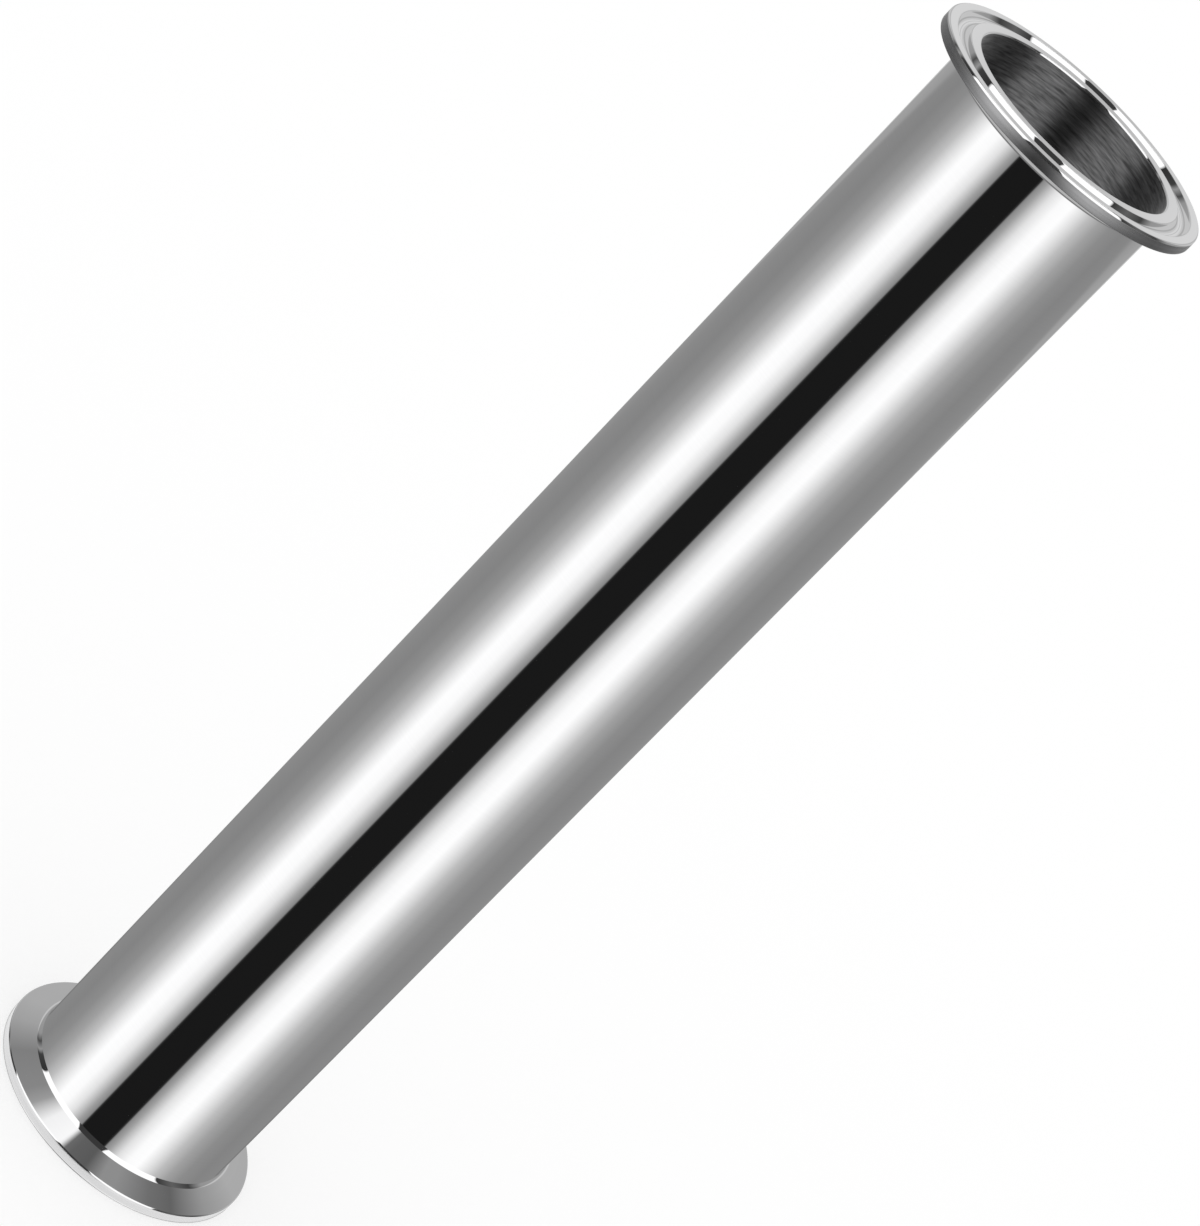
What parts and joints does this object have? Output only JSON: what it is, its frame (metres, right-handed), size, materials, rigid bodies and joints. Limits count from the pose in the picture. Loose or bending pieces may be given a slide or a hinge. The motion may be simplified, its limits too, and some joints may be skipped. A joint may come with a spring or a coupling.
{
  "type": "sanitary spool pipe",
  "caption": "Straight polished stainless tube with a clamp ferrule on each end, each with a gasket groove, sloped back and open bore, for joining sanitary process lines.",
  "frame": {"origin": "centre of the lower clamp face, which the pipe stands on", "axes": "+Z along the pipe's own axis, from the lower clamp face to the upper one; it is a solid of revolution, so X and Y are free"},
  "size_m": [0.064, 0.064, 0.3048],
  "materials": {
    "polished_tube": "mirror polished stainless steel outside, fine circumferential brushing inside the bore",
    "polished_ferrule": "mirror polished stainless steel, turned all over"
  },
  "bodies": {
    "root": {"tube": "polished_tube", "lower_ferrule": "polished_ferrule", "upper_ferrule": "polished_ferrule"}
  },
  "joints": []
}
